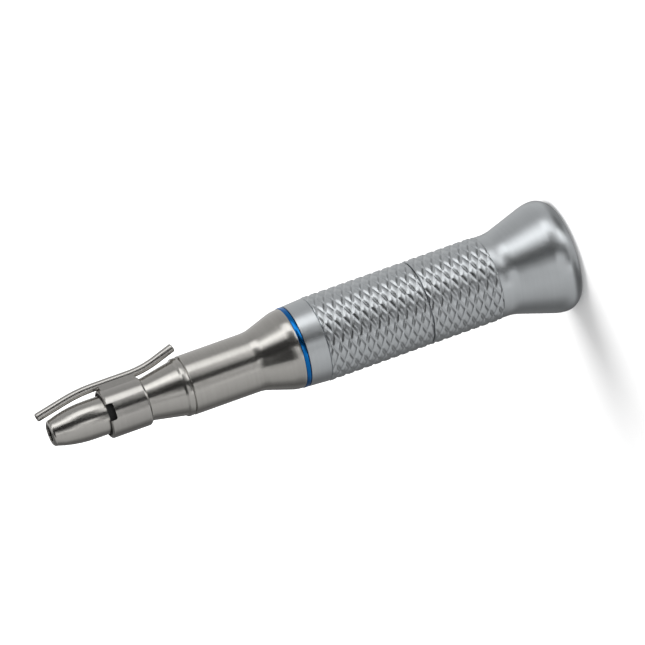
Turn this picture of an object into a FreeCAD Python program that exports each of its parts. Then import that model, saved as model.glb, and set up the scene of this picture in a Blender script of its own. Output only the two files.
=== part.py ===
import FreeCAD, Part
import math
import os
import re
import Sketcher

# Straight surgical handpiece with a twist-to-open chuck and a clip-on spray tube.
# +Z runs along the axis from the coupling mouth, where the origin is, to the nose.
# The spray tube lies on the +X side. Lengths are in millimetres, angles in degrees.

DOC = FreeCAD.newDocument("straight_handpiece")

# Driving dimensions
SIZES = {
    # Clearances shared by the fits
    "running_fit": 0.05,
    "end_float": 0.1,
    "turning_room": 0.3,
    "ball_fit": 0.02,
    # Bell at the coupling end
    "bell_face_width": 1.0,
    "bell_rim_length": 2.2,
    "bell_rim_width": 1.1,
    "bell_slope": 17.7,
    "bell_shoulder_round": 7.0,
    "bell_foot_round": 8.0,
    "mouth_depth": 3.5,
    "mouth_step": 0.8,
    "mouth_chamfer": 0.3,
    # Grip
    "grip_radius": 7.6,
    "grip_wall": 0.7,
    "neck_ring_drop": 0.18,
    "neck_ring_length": 1.27,
    "rear_knurl_length": 13.3,
    "split_gap": 0.25,
    "front_knurl_length": 19.25,
    "knurl_end_chamfer": 0.15,
    "knurl_count": 12,
    "knurl_pitch": 1.71,
    "knurl_depth": 0.2,
    "knurl_groove_width": 0.6,
    "knurl_relief": 0.02,
    "line_depth": 0.25,
    "line_width": 0.3,
    "collar_length": 3.75,
    "collar_rear_drop": 0.1,
    "collar_front_drop": 0.33,
    # Colour ring and front sleeve
    "ring_width": 0.8,
    "ring_drop": 0.35,
    "ring_chamfer": 0.08,
    "flare_drop": 0.46,
    "flare_slope": 18.0,
    "flare_shoulder_round": 7.0,
    "flare_foot_round": 6.5,
    "sleeve_wall": 0.68,
    "sleeve_length": 11.88,
    "sleeve_end_chamfer": 0.12,
    "sleeve_spigot_length": 7.0,
    # Core tube
    "socket_wall": 0.7,
    "core_shoulder_setback": 0.6,
    "latch_groove_depth": 0.2,
    "latch_groove_width": 1.2,
    "latch_groove_inset": 13.0,
    "core_step": 0.5,
    "core_wall": 0.6,
    "seal_groove_depth": 0.3,
    "seal_groove_width": 0.6,
    "seal_groove_inset": 3.6,
    # Bearing carrier at the rear
    "circlip_width": 0.8,
    "circlip_depth": 0.35,
    "circlip_height": 1.0,
    "circlip_gap": 3.0,
    "carrier_flange_length": 1.6,
    "carrier_nose_length": 5.0,
    "carrier_bore_room": 0.7,
    "washer_thickness": 0.4,
    "washer_bore_room": 1.0,
    "rear_bearing_section": 2.0,
    "rear_bearing_width": 3.0,
    "rear_bearing_inset": 1.2,
    "rear_ball_radius": 0.6,
    "rear_ball_count": 8,
    # Neck
    "shadow_gap": 0.25,
    "neck_seat_drop": 0.33,
    "band_drop": 0.08,
    "band_length": 0.85,
    "band_chamfer": 0.35,
    "cone_step": 0.3,
    "cone_length": 5.65,
    "clip_seat_step": 0.38,
    "clip_seat_length": 7.7,
    "clip_seat_chamfer": 0.2,
    "clip_seat_relief": 1.3,
    "clip_groove_depth": 0.5,
    "clip_groove_width": 0.75,
    "neck_wall": 0.6,
    "neck_spigot_length": 8.0,
    "front_bearing_section": 1.5,
    "front_bearing_width": 2.5,
    "front_bearing_inset": 2.6,
    "front_ball_radius": 0.5,
    "front_ball_count": 9,
    "bearing_spacer_length": 2.5,
    "race_land": 0.3,
    "raceway_fit": 0.02,
    "bearing_nut_length": 2.3,
    "bearing_nut_room": 0.9,
    "nose_spigot_wall": 0.3,
    "nose_spigot_length": 3.8,
    # Nose cap
    "nose_wall": 0.47,
    "nose_length": 10.3,
    "nose_straight": 3.0,
    "nose_end_wall": 0.46,
    "nose_lip_round": 0.6,
    "nose_opening_room": 0.21,
    "nose_lip_length": 0.7,
    "nose_cavity_room": 0.35,
    "nose_cavity_taper": 2.6,
    "nose_cavity_drop": 0.7,
    "nose_seal_length": 1.2,
    "nose_seal_inset": 1.4,
    # Spindle
    "spindle_wall": 0.7,
    "flange_step": 0.45,
    "flange_length": 0.6,
    "shaft_drop": 0.15,
    "tip_drop": 0.1,
    "tip_length": 3.4,
    "tip_inset": 2.5,
    "dog_flange_length": 1.0,
    "dog_drop": 0.3,
    "dog_length": 9.5,
    "dog_plug_length": 7.0,
    "fork_width": 1.4,
    "fork_depth": 4.0,
    "spindle_nut_step": 0.6,
    "spindle_nut_length": 1.6,
    # Chuck
    "shank_radius": 1.175,
    "shank_fit": 0.015,
    "collet_wall": 0.41,
    "collet_head_step": 0.22,
    "collet_cone_length": 1.4,
    "collet_head_length": 0.5,
    "collet_lead_in": 0.17,
    "collet_length": 16.5,
    "collet_tail_wall": 0.26,
    "collet_tail_length": 4.0,
    "collet_slot_width": 0.25,
    "collet_slot_length": 12.0,
    "draw_tube_wall": 0.3,
    "draw_tube_step": 0.29,
    "shank_depth": 38.5,
    "cross_pin_radius": 0.6,
    "cross_pin_inset": 3.0,
    "chuck_travel": 1.0,
    # Release mechanism behind the chuck
    "twist_angle": 60.0,
    "pusher_length": 3.6,
    "pusher_pin_inset": 11.0,
    "pin_radius": 0.8,
    "pin_reach": 0.45,
    "pin_root_room": 0.25,
    "cam_wall": 0.5,
    "cam_rear_inset": 1.3,
    "cam_front_land": 3.0,
    "release_wall": 1.65,
    "release_length": 3.0,
    "spring_length": 10.0,
    "spring_washer_count": 8,
    "spring_washer_thickness": 0.4,
    "spring_seat_length": 1.6,
    # Spray clip
    "clip_length": 7.45,
    "clip_inset": 0.55,
    "clip_wall": 0.51,
    "clip_front_round": 0.45,
    "clip_rear_round": 0.45,
    "clip_slit_width": 0.9,
    "clip_ring_radius": 0.25,
    "clip_notch_half_width": 1.5,
    "clip_notch_depth": 1.15,
    "clip_notch_round": 0.4,
    "saddle_inset": 0.45,
    # Spray tube
    "tube_radius": 0.78,
    "tube_bore_radius": 0.5,
    "tube_sink": 0.12,
    "tube_rise": 1.3,
    "tube_toe_in": 11.8,
    "tube_front_straight": 3.1,
    "tube_rear_straight": 1.55,
    "tube_tail": 6.2,
    "tube_splay": 17.4,
    "tube_front_round": 28.0,
    "tube_rear_round": 18.0,
}

# Radii and places along the axis that follow from the sizes
FOLLOWS = {
    "bore_radius": "shank_radius + shank_fit",
    "collet_tail_radius": "bore_radius + collet_tail_wall",
    "collet_radius": "bore_radius + collet_wall",
    "collet_head_radius": "collet_radius + collet_head_step",
    "draw_tube_radius": "collet_tail_radius + draw_tube_wall",
    "draw_tube_bore": "bore_radius - draw_tube_step",
    "spindle_bore": "draw_tube_radius + running_fit",
    "journal_radius": "spindle_bore + spindle_wall",
    "flange_radius": "journal_radius + flange_step",
    "shaft_radius": "journal_radius - shaft_drop",
    "tip_radius": "shaft_radius - tip_drop",
    "dog_radius": "journal_radius - dog_drop",
    "spindle_nut_radius": "journal_radius + spindle_nut_step",
    "bearing_nut_bore": "journal_radius + bearing_nut_room",
    "release_radius": "journal_radius + running_fit + release_wall",
    "pin_root": "flange_radius + pin_root_room",
    "carrier_bore_radius": "journal_radius + carrier_bore_room",
    "washer_inner_radius": "journal_radius + washer_bore_room",
    "rear_bearing_outer": "journal_radius + rear_bearing_section",
    "front_bearing_outer": "journal_radius + front_bearing_section",
    "neck_spigot_radius": "front_bearing_outer + neck_wall",
    "sleeve_radius": "neck_spigot_radius + sleeve_wall",
    "neck_seat_radius": "sleeve_radius - neck_seat_drop",
    "band_radius": "sleeve_radius - band_drop",
    "cone_radius": "band_radius - cone_step",
    "neck_bore_radius": "shaft_radius + turning_room",
    "nose_spigot_radius": "neck_bore_radius + nose_spigot_wall",
    "nose_radius": "nose_spigot_radius + nose_wall",
    "nose_cavity_radius": "tip_radius + nose_cavity_room",
    "nose_cavity_end": "nose_cavity_radius - nose_cavity_drop",
    "nose_end_radius": "nose_cavity_end + nose_end_wall",
    "nose_opening": "bore_radius + nose_opening_room",
    "clip_seat_radius": "nose_radius + clip_seat_step",
    "clip_bore": "clip_seat_radius + running_fit",
    "clip_radius": "clip_bore + clip_wall",
    "saddle_half_width": "sqrt(clip_radius ^ 2 - (clip_bore + running_fit) ^ 2)",
    "tube_standoff": "clip_radius + tube_radius - tube_sink",
    "core_radius": "grip_radius - grip_wall",
    "socket_radius": "core_radius - socket_wall",
    "twist_bearing_radius": "core_radius - core_step",
    "core_bore_radius": "twist_bearing_radius - core_wall",
    "cam_radius": "twist_bearing_radius + running_fit",
    "cam_outer": "cam_radius + cam_wall",
    "neck_ring_radius": "grip_radius - neck_ring_drop",
    "collar_rear_radius": "grip_radius - collar_rear_drop",
    "collar_front_radius": "grip_radius - collar_front_drop",
    "ring_radius": "grip_radius - ring_drop",
    "flare_radius": "grip_radius - flare_drop",
    "mouth_radius": "core_radius + mouth_step",
    "bell_radius": "mouth_radius + mouth_chamfer + bell_face_width + bell_rim_width",
    "bell_flare_z": "bell_rim_length",
    "bell_end_z": "bell_flare_z + flare_run(bell_radius; neck_ring_radius; bell)",
    "rear_knurl_z": "bell_end_z + neck_ring_length",
    "rear_sleeve_end": "rear_knurl_z + rear_knurl_length",
    "twist_z": "rear_sleeve_end + split_gap",
    "front_knurl_end": "twist_z + front_knurl_length",
    "twist_end": "front_knurl_end + collar_length",
    "ring_z": "twist_end + end_float",
    "ring_end": "ring_z + ring_width",
    "flare_end": "ring_end + flare_run(flare_radius; sleeve_radius; flare)",
    "sleeve_end": "flare_end + sleeve_length",
    "core_step_z": "twist_z - end_float",
    "core_shoulder_z": "core_step_z - core_shoulder_setback",
    "carrier_rear": "core_shoulder_z - carrier_flange_length",
    "circlip_z": "carrier_rear - circlip_width",
    "carrier_front": "core_shoulder_z + carrier_nose_length",
    "rear_pocket_z": "core_shoulder_z + rear_bearing_inset",
    "rear_bearing_z": "rear_pocket_z + washer_thickness",
    "rear_bearing_end": "rear_bearing_z + rear_bearing_width",
    "band_z": "sleeve_end + shadow_gap",
    "cone_z": "band_z + band_length + band_chamfer",
    "clip_seat_z": "cone_z + cone_length",
    "nose_z": "clip_seat_z + clip_seat_length",
    "nose_tip": "nose_z + nose_length",
    "clip_groove_z": "nose_z - clip_seat_length / 2",
    "front_bearing_end": "sleeve_end + front_bearing_inset",
    "front_bearing_z": "front_bearing_end - front_bearing_width",
    "second_bearing_end": "front_bearing_z - bearing_spacer_length",
    "second_bearing_z": "second_bearing_end - front_bearing_width",
    "bearing_nut_z": "second_bearing_z - bearing_nut_length",
    "nose_spigot_end": "nose_z + nose_spigot_length",
    "nose_cavity_z": "nose_tip - nose_lip_length - nose_cavity_taper",
    "spindle_tip": "nose_tip - tip_inset",
    "collet_face": "spindle_tip + collet_head_length",
    "collet_cone_z": "spindle_tip - collet_cone_length",
    "collet_z": "collet_face - collet_length",
    "shank_stop_z": "collet_face - shank_depth",
    "spindle_step_z": "collet_z + collet_tail_length + chuck_travel + turning_room",
    "pusher_pin_z": "twist_z + pusher_pin_inset",
    "pusher_z": "pusher_pin_z - pusher_length / 2",
    "pusher_end": "pusher_z + pusher_length",
    "release_z": "pusher_end + end_float",
    "release_end": "release_z + release_length",
    "cross_pin_z": "release_z + release_length / 2",
    "draw_tube_z": "cross_pin_z - cross_pin_inset",
    "spring_end": "release_end + spring_length",
    "cam_z": "twist_z + cam_rear_inset",
    "cam_end": "pusher_pin_z + chuck_travel + pin_radius + cam_front_land",
    "clip_z": "clip_seat_z + clip_inset",
    "clip_end": "clip_z + clip_length",
    "tube_front_bend": "clip_end + tube_front_straight",
    "tube_rear_bend": "clip_z - tube_rear_straight",
}


def flare_run(wide, narrow, name):
    """Axial length of a flare: a round shoulder, a straight slope and a round foot."""
    slope = f"{name}_slope"
    rounds = f"({name}_shoulder_round + {name}_foot_round)"
    straight_drop = f"({wide} - {narrow} - {rounds} * (1 - cos({slope})))"
    return f"({rounds} * sin({slope}) + {straight_drop} / tan({slope}))"


def formula(text):
    """Write a formula of named sizes in the spreadsheet's own terms."""
    def flare_terms(found):
        return flare_run(*[term.strip() for term in found.group(1).split(";")])

    def full_name(found):
        name = found.group(0)
        if name in FOLLOWS:
            return "(" + formula(FOLLOWS[name]) + ")"
        return "Sizes." + name if name in SIZES else name

    text = re.sub(r"flare_run\(([^)]*)\)", flare_terms, text)
    return re.sub(r"[a-z][a-z_]*", full_name, text)


def write_sheet():
    """Put every driving dimension in a cell of its own."""
    sheet = DOC.addObject("Spreadsheet::Sheet", "Sizes")
    for row, (name, number) in enumerate(SIZES.items(), start=1):
        sheet.set(f"A{row}", name)
        sheet.set(f"B{row}", str(number))
        sheet.setAlias(f"B{row}", name)
    DOC.recompute()
    return sheet


SHEET = write_sheet()


def size(text):
    """Work out a formula of named sizes."""
    found = SHEET.evalExpression(formula(text))
    return float(getattr(found, "Value", found))


def bind(item, field, text):
    """Tie a property or constraint to a formula of named sizes."""
    item.setExpression(field, formula(text))


# Sketching


def new_body(label):
    """Start a sub-part whose label names its file."""
    body = DOC.addObject("PartDesign::Body", label)
    body.Label = label
    return body


def sketch_on(body, role, height=None):
    """Open a sketch on one of the body's own planes, lifted off it if a height is given."""
    sketch = body.newObject("Sketcher::SketchObject", body.Label + "_sketch")
    plane = next(item for item in body.Origin.OriginFeatures if item.Role == role)
    sketch.AttachmentSupport = [(plane, "")]
    sketch.MapMode = "FlatFace"
    if height:
        bind(sketch, "AttachmentOffset.Base.z", height)
    return sketch


def pin_point(sketch, edge, end, across, up):
    """Hold one end of an edge at named distances from the sketch's origin."""
    for kind, text in (("DistanceX", across), ("DistanceY", up)):
        rule = sketch.addConstraint(Sketcher.Constraint(kind, -1, 1, edge, end, size(text)))
        bind(sketch, f"Constraints[{rule}]", text)


def bowed(start, end, radius):
    """Arc between two points that bows to the right of travel, or to the left if minus."""
    chord = end - start
    side = FreeCAD.Vector(chord.y, -chord.x, 0).normalize() * math.copysign(1, radius)
    rise = math.sqrt(max(radius ** 2 - chord.Length ** 2 / 4, 0))
    middle = (start + end) * 0.5 + side * (abs(radius) - rise)
    return Part.Arc(start, middle, end)


def draw(sketch, corners, closed=True):
    """Draw an outline of (across, up) corners; a third term bends the edge that follows."""
    spots = [FreeCAD.Vector(size(corner[0]), size(corner[1]), 0) for corner in corners]
    count = len(corners) if closed else len(corners) - 1
    starts = []
    for index in range(count):
        start, end = spots[index], spots[(index + 1) % len(corners)]
        bent = len(corners[index]) == 3
        edge = bowed(start, end, size(corners[index][2])) if bent else Part.LineSegment(start, end)
        made = sketch.addGeometry(edge)
        near = sketch.getPoint(made, 1).distanceToPoint(start) < 1e-6
        starts.append((made, 1 if near else 2))
        pin_point(sketch, *starts[-1], *corners[index][:2])
        if bent:
            rule = sketch.addConstraint(Sketcher.Constraint("Radius", made, abs(size(corners[index][2]))))
            bind(sketch, f"Constraints[{rule}]", f"abs({corners[index][2]})")
    for index in range(count if closed else count - 1):
        made, first = starts[index]
        following = starts[(index + 1) % count]
        sketch.addConstraint(Sketcher.Constraint("Coincident", made, 3 - first, *following))
    if not closed:
        made, first = starts[-1]
        pin_point(sketch, made, 3 - first, *corners[-1][:2])


def draw_circle(sketch, across, up, radius):
    """Draw a circle about a named point."""
    centre = FreeCAD.Vector(size(across), size(up), 0)
    made = sketch.addGeometry(Part.Circle(centre, FreeCAD.Vector(0, 0, 1), size(radius)))
    pin_point(sketch, made, 3, across, up)
    rule = sketch.addConstraint(Sketcher.Constraint("Radius", made, size(radius)))
    bind(sketch, f"Constraints[{rule}]", radius)


def box_corners(left, bottom, right, top):
    """Corners of an upright rectangle."""
    return [(left, bottom), (right, bottom), (right, top), (left, top)]


def slot_corners(half_width, bottom, top):
    """Corners of an upright slot with round ends, centred across."""
    low = f"({bottom}) + ({half_width})"
    high = f"({top}) - ({half_width})"
    left = f"0 - ({half_width})"
    return [
        (left, low, half_width),
        ("0", bottom, half_width),
        (half_width, low),
        (half_width, high, half_width),
        ("0", top, half_width),
        (left, high),
    ]


# Features


def finish_body(body):
    """Recompute a body up to its newest feature."""
    DOC.recompute()
    return body


def turn(label, corners):
    """Turn an outline of (radius, height) corners about the handpiece's axis."""
    body = new_body(label)
    sketch = sketch_on(body, "XZ_Plane")
    draw(sketch, corners)
    feature = body.newObject("PartDesign::Revolution", label + "_turned")
    feature.Profile = sketch
    feature.ReferenceAxis = (sketch, ["V_Axis"])
    feature.Angle = 360
    return finish_body(body)


def tube(label, inner, outer, bottom, top):
    """Turn a plain ring or sleeve."""
    return turn(label, box_corners(inner, bottom, outer, top))


def cut_through(body, sketch, reach=None):
    """Pocket a sketch right through, or by a named width centred on its plane."""
    before = body.Shape.Volume
    feature = body.newObject("PartDesign::Pocket", body.Label + "_cut")
    feature.Profile = sketch
    feature.SideType = "Symmetric"
    if reach:
        bind(feature, "Length", reach)
    else:
        feature.Type = "ThroughAll"
    DOC.recompute()
    if body.Shape.Volume >= before:
        raise RuntimeError(body.Label + ": the cut missed")
    return feature


def cross_hole(body, height, radius):
    """Drill along Y, right through the axis."""
    sketch = sketch_on(body, "XZ_Plane")
    draw_circle(sketch, "0", height, radius)
    cut_through(body, sketch)


def cross_slot(body, half_width, bottom, top):
    """Cut an upright slot along Y, right through both walls."""
    sketch = sketch_on(body, "XZ_Plane")
    draw(sketch, slot_corners(half_width, bottom, top))
    cut_through(body, sketch)


def repeat_round(body, feature, count):
    """Repeat a feature evenly round the axis."""
    pattern = body.newObject("PartDesign::PolarPattern", body.Label + "_pattern")
    pattern.Originals = [feature]
    pattern.Axis = (feature.Profile[0], ["V_Axis"])
    pattern.Angle = 360
    pattern.Occurrences = count
    body.Tip = pattern
    return finish_body(body)


def tangent_round(drop, run):
    """Radius of an arc that leaves a straight wall smoothly and falls by drop over run."""
    return f"(({drop}) ^ 2 + ({run}) ^ 2) / (2 * ({drop}))"


def flare_corners(wide, narrow, start, name):
    """Corners of a flare from a wide to a narrow radius, up to its foot."""
    slope = f"{name}_slope"
    shoulder, foot = f"{name}_shoulder_round", f"{name}_foot_round"
    fall = f"(1 - cos({slope}))"
    end = f"{start} + flare_run({wide}; {narrow}; {name})"
    return [
        (wide, start, shoulder),
        (f"{wide} - {shoulder} * {fall}", f"{start} + {shoulder} * sin({slope})"),
        (f"{narrow} + {foot} * {fall}", f"{end} - {foot} * sin({slope})", "0 - " + foot),
        (narrow, end),
    ]


# Diamond knurl


def knurl_lattice(start):
    """Give a function that places points of a lattice whose two axes follow the crossing grooves."""
    half_turn = math.pi / SIZES["knurl_count"]
    half_pitch = size("knurl_pitch / 2")

    def place(across, along, radius):
        angle = (across + along) * half_turn
        height = start + (across - along) * half_pitch
        return FreeCAD.Vector(radius * math.cos(angle), radius * math.sin(angle), height)

    return place


def groove_share():
    """Half width of a groove as a share of the space between two grooves."""
    run = math.pi * size("grip_radius") / SIZES["knurl_count"]
    rise = size("knurl_pitch / 2")
    spacing = 2 * run * rise / math.hypot(run, rise)
    return size("knurl_groove_width / 2") / spacing


def diamond_facets(place, across, along, part):
    """Triangles of one raised diamond, or of its upper or lower half at an end of the band."""
    crest = size("grip_radius - knurl_relief")
    floor = size("grip_radius - knurl_relief - knurl_depth")
    near, far = groove_share(), 1 - groove_share()
    left, right = place(across, along, floor), place(across + 1, along + 1, floor)
    upper, lower = place(across + 1, along, floor), place(across, along + 1, floor)
    left_top, right_top = place(across + near, along + near, crest), place(across + far, along + far, crest)
    upper_top, lower_top = place(across + far, along + near, crest), place(across + near, along + far, crest)
    middle = place(across + 0.5, along + 0.5, crest)
    upper_walls = [(left, upper, upper_top), (left, upper_top, left_top),
                   (upper, right, right_top), (upper, right_top, upper_top)]
    lower_walls = [(right, lower, lower_top), (right, lower_top, right_top),
                   (lower, left, left_top), (lower, left_top, lower_top)]
    if part == "upper":
        return upper_walls + [(left_top, middle, upper_top), (middle, right_top, upper_top)]
    if part == "lower":
        return lower_walls + [(left_top, lower_top, middle), (middle, lower_top, right_top)]
    return upper_walls + lower_walls + [(left_top, lower_top, upper_top), (right_top, upper_top, lower_top)]


def end_ring(place, row, skin):
    """Flat ring at one end of the band, from the last half diamonds out to the plain skin."""
    crest = size("grip_radius - knurl_relief")
    floor = size("grip_radius - knurl_relief - knurl_depth")
    near, far = groove_share(), 1 - groove_share()
    spots = []
    for across, along in row_cells(row):
        spots.append(place(across, along, floor))
        spots += [place(across + share, along + share, crest) for share in (near, 0.5, far)]
    circle = Part.makeCircle(skin, FreeCAD.Vector(0, 0, spots[0].z))
    return Part.makeFace([Part.Wire([circle]), Part.makePolygon(spots + spots[:1])], "Part::FaceMakerBullseye")


def row_cells(row):
    """Lattice places of the diamonds in one row; every other row is turned by half a diamond."""
    turns = [2 * index + row % 2 for index in range(SIZES["knurl_count"])]
    return [((turn + row) // 2, (turn - row) // 2) for turn in turns]


def knurl_shell(start, rows, skin):
    """All faces of a knurled band and of the flat rings that close it to the skin."""
    place = knurl_lattice(start)
    facets = []
    for row in range(rows + 1):
        part = {0: "upper", rows: "lower"}.get(row, "whole")
        for across, along in row_cells(row):
            facets += diamond_facets(place, across, along, part)
    faces = [Part.Face(Part.makePolygon([*facet, facet[0]])) for facet in facets]
    return faces + [end_ring(place, 0, skin), end_ring(place, rows, skin)]


def knurl_blank(label, bottom, top):
    """Raise diamonds on the plain grip of a turned blank, between two heights, and name the piece."""
    blank = DOC.getObject(label + "_blank")
    low, high, skin = size(bottom), size(top), size("grip_radius")
    rows = int((high - low) / size("knurl_pitch / 2"))
    start = low + (high - low - rows * size("knurl_pitch / 2")) / 2
    end = start + rows * size("knurl_pitch / 2")
    kept = [face for face in blank.Shape.Faces if not grips(face, low, high, skin)]
    lands = [Part.makeCylinder(skin, rise, FreeCAD.Vector(0, 0, foot)).Faces[0]
             for foot, rise in ((low, start - low), (end, high - end))]
    shell = Part.makeShell(kept + lands + knurl_shell(start, rows, skin))
    shell.sewShape()
    item = DOC.addObject("Part::Feature", label)
    item.Label = label
    item.Shape = Part.makeSolid(shell)
    if item.Shape.Volume < 0:
        item.Shape = item.Shape.reversed()
    return item


def grips(face, low, high, skin):
    """Whether a face is the plain cylinder of the grip between two heights."""
    box = face.BoundBox
    same_place = abs(box.ZMin - low) < 1e-4 and abs(box.ZMax - high) < 1e-4
    return same_place and isinstance(face.Surface, Part.Cylinder) and abs(face.Surface.Radius - skin) < 1e-4


# Outer skin


def make_rear_sleeve():
    """Bell and rear half of the grip, in one turned piece."""
    face = "bell_radius - bell_rim_width"
    rim = tangent_round("bell_rim_width", "bell_rim_length")
    corners = [("mouth_radius + mouth_chamfer", "0"), (face, "0", rim)]
    corners += flare_corners("bell_radius", "neck_ring_radius", "bell_flare_z", "bell")
    corners += [
        ("neck_ring_radius", "rear_knurl_z"),
        ("grip_radius", "rear_knurl_z"),
        ("grip_radius", "rear_sleeve_end - knurl_end_chamfer"),
        ("grip_radius - knurl_end_chamfer", "rear_sleeve_end"),
        ("core_radius", "rear_sleeve_end"),
        ("core_radius", "mouth_depth"),
        ("mouth_radius", "mouth_depth"),
        ("mouth_radius", "mouth_chamfer"),
    ]
    turn("rear_sleeve_blank", corners)
    return knurl_blank("rear_sleeve", "rear_knurl_z", "rear_sleeve_end - knurl_end_chamfer")


def make_twist_sleeve():
    """Front half of the grip, which turns to open the chuck."""
    turn("twist_sleeve_blank", [
        ("cam_outer", "twist_z"),
        ("grip_radius - knurl_end_chamfer", "twist_z"),
        ("grip_radius", "twist_z + knurl_end_chamfer"),
        ("grip_radius", "front_knurl_end - line_width / 2"),
        ("grip_radius - line_depth", "front_knurl_end"),
        ("collar_rear_radius", "front_knurl_end + line_width / 2"),
        ("collar_front_radius", "twist_end"),
        ("cam_radius", "twist_end"),
        ("cam_radius", "cam_end"),
        ("cam_outer", "cam_end"),
    ])
    return knurl_blank("twist_sleeve", "twist_z + knurl_end_chamfer", "front_knurl_end - line_width / 2")


def make_colour_ring():
    """Coloured ring held between the core tube and the front sleeve."""
    return turn("colour_ring", [
        ("core_bore_radius", "ring_z"),
        ("ring_radius - ring_chamfer", "ring_z"),
        ("ring_radius", "ring_z + ring_chamfer"),
        ("ring_radius", "ring_end - ring_chamfer"),
        ("ring_radius - ring_chamfer", "ring_end"),
        ("core_bore_radius", "ring_end"),
    ])


def make_front_sleeve():
    """Flared front sleeve with the spigot that joins it to the core tube."""
    corners = [
        ("neck_spigot_radius", "ring_z - sleeve_spigot_length"),
        ("core_bore_radius", "ring_z - sleeve_spigot_length"),
        ("core_bore_radius", "ring_end"),
    ]
    corners += flare_corners("flare_radius", "sleeve_radius", "ring_end", "flare")
    corners += [
        ("sleeve_radius", "sleeve_end - sleeve_end_chamfer"),
        ("sleeve_radius - sleeve_end_chamfer", "sleeve_end"),
        ("neck_spigot_radius", "sleeve_end"),
    ]
    return turn("front_sleeve", corners)


def make_neck_housing():
    """Tapered neck that seats the spray clip outside and the front bearings inside."""
    return turn("neck_housing", [
        ("front_bearing_outer", "sleeve_end - neck_spigot_length"),
        ("neck_spigot_radius", "sleeve_end - neck_spigot_length"),
        ("neck_spigot_radius", "sleeve_end"),
        ("neck_seat_radius", "sleeve_end"),
        ("neck_seat_radius", "band_z"),
        ("band_radius", "band_z"),
        ("band_radius", "band_z + band_length"),
        ("cone_radius", "cone_z"),
        ("clip_seat_radius", "clip_seat_z"),
        ("clip_seat_radius", "clip_groove_z - clip_groove_width / 2"),
        ("clip_seat_radius - clip_groove_depth", "clip_groove_z - clip_groove_width / 2"),
        ("clip_seat_radius - clip_groove_depth", "clip_groove_z + clip_groove_width / 2"),
        ("clip_seat_radius", "clip_groove_z + clip_groove_width / 2"),
        ("clip_seat_radius", "nose_z - clip_seat_relief - clip_seat_chamfer"),
        ("clip_seat_radius - clip_seat_chamfer", "nose_z - clip_seat_relief"),
        ("nose_radius", "nose_z - clip_seat_relief"),
        ("nose_radius", "nose_z"),
        ("nose_spigot_radius", "nose_z"),
        ("nose_spigot_radius", "nose_spigot_end"),
        ("neck_bore_radius", "nose_spigot_end"),
        ("neck_bore_radius", "front_bearing_end + flange_length + turning_room"),
        ("flange_radius + turning_room", "front_bearing_end + flange_length + turning_room"),
        ("flange_radius + turning_room", "front_bearing_end"),
        ("front_bearing_outer", "front_bearing_end"),
    ])


def make_nose_cap():
    """Bullet-shaped nose with a round lip about the chuck's opening."""
    ogive_z = "nose_z + nose_straight"
    lip_z = "nose_tip - nose_lip_round"
    ogive = tangent_round("nose_radius - nose_end_radius", f"{lip_z} - ({ogive_z})")
    return turn("nose_cap", [
        ("nose_spigot_radius", "nose_z"),
        ("nose_radius", "nose_z"),
        ("nose_radius", ogive_z, ogive),
        ("nose_end_radius", lip_z, "nose_lip_round"),
        ("nose_end_radius - nose_lip_round", "nose_tip"),
        ("nose_opening", "nose_tip"),
        ("nose_opening", "nose_tip - nose_lip_length"),
        ("nose_cavity_end", "nose_tip - nose_lip_length"),
        ("nose_cavity_radius", "nose_cavity_z"),
        ("nose_cavity_radius", "nose_spigot_end"),
        ("nose_spigot_radius", "nose_spigot_end"),
    ])


# Core and its fittings


def make_core_tube():
    """Inner tube: coupling socket at the rear, journal of the twist sleeve in front."""
    latch_z = "mouth_depth + latch_groove_inset"
    groove_z = "twist_end - seal_groove_inset"
    body = turn("core_tube", [
        ("socket_radius + mouth_chamfer", "mouth_depth"),
        ("core_radius", "mouth_depth"),
        ("core_radius", "core_step_z"),
        ("twist_bearing_radius", "core_step_z"),
        ("twist_bearing_radius", groove_z),
        ("twist_bearing_radius - seal_groove_depth", groove_z),
        ("twist_bearing_radius - seal_groove_depth", f"{groove_z} + seal_groove_width"),
        ("twist_bearing_radius", f"{groove_z} + seal_groove_width"),
        ("twist_bearing_radius", "ring_z"),
        ("core_bore_radius", "ring_z"),
        ("core_bore_radius", "core_shoulder_z"),
        ("socket_radius", "core_shoulder_z"),
        ("socket_radius", "carrier_rear"),
        ("socket_radius + circlip_depth", "carrier_rear"),
        ("socket_radius + circlip_depth", "circlip_z"),
        ("socket_radius", "circlip_z"),
        ("socket_radius", f"{latch_z} + latch_groove_width"),
        ("socket_radius + latch_groove_depth", f"{latch_z} + latch_groove_width"),
        ("socket_radius + latch_groove_depth", latch_z),
        ("socket_radius", latch_z),
        ("socket_radius", "mouth_depth + mouth_chamfer"),
    ])
    reach = "(pin_radius + running_fit)"
    cross_slot(body, reach, f"pusher_pin_z - {reach}", f"pusher_pin_z + chuck_travel + {reach}")
    return body


def make_bearing_carrier():
    """Bulkhead that holds the rear bearing in the core tube."""
    return turn("bearing_carrier", [
        ("carrier_bore_radius", "carrier_rear"),
        ("socket_radius", "carrier_rear"),
        ("socket_radius", "core_shoulder_z"),
        ("core_bore_radius", "core_shoulder_z"),
        ("core_bore_radius", "carrier_front"),
        ("rear_bearing_outer", "carrier_front"),
        ("rear_bearing_outer", "rear_pocket_z"),
        ("carrier_bore_radius", "rear_pocket_z"),
    ])


def make_carrier_circlip():
    """Open ring that keeps the bearing carrier against its shoulder."""
    body = tube("carrier_circlip", "socket_radius + circlip_depth - circlip_height",
                "socket_radius + circlip_depth", "circlip_z", "carrier_rear")
    sketch = sketch_on(body, "XZ_Plane")
    draw(sketch, box_corners("0", "circlip_z - circlip_width", "2 * socket_radius", "core_shoulder_z"))
    cut_through(body, sketch, "circlip_gap")
    return body


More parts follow.
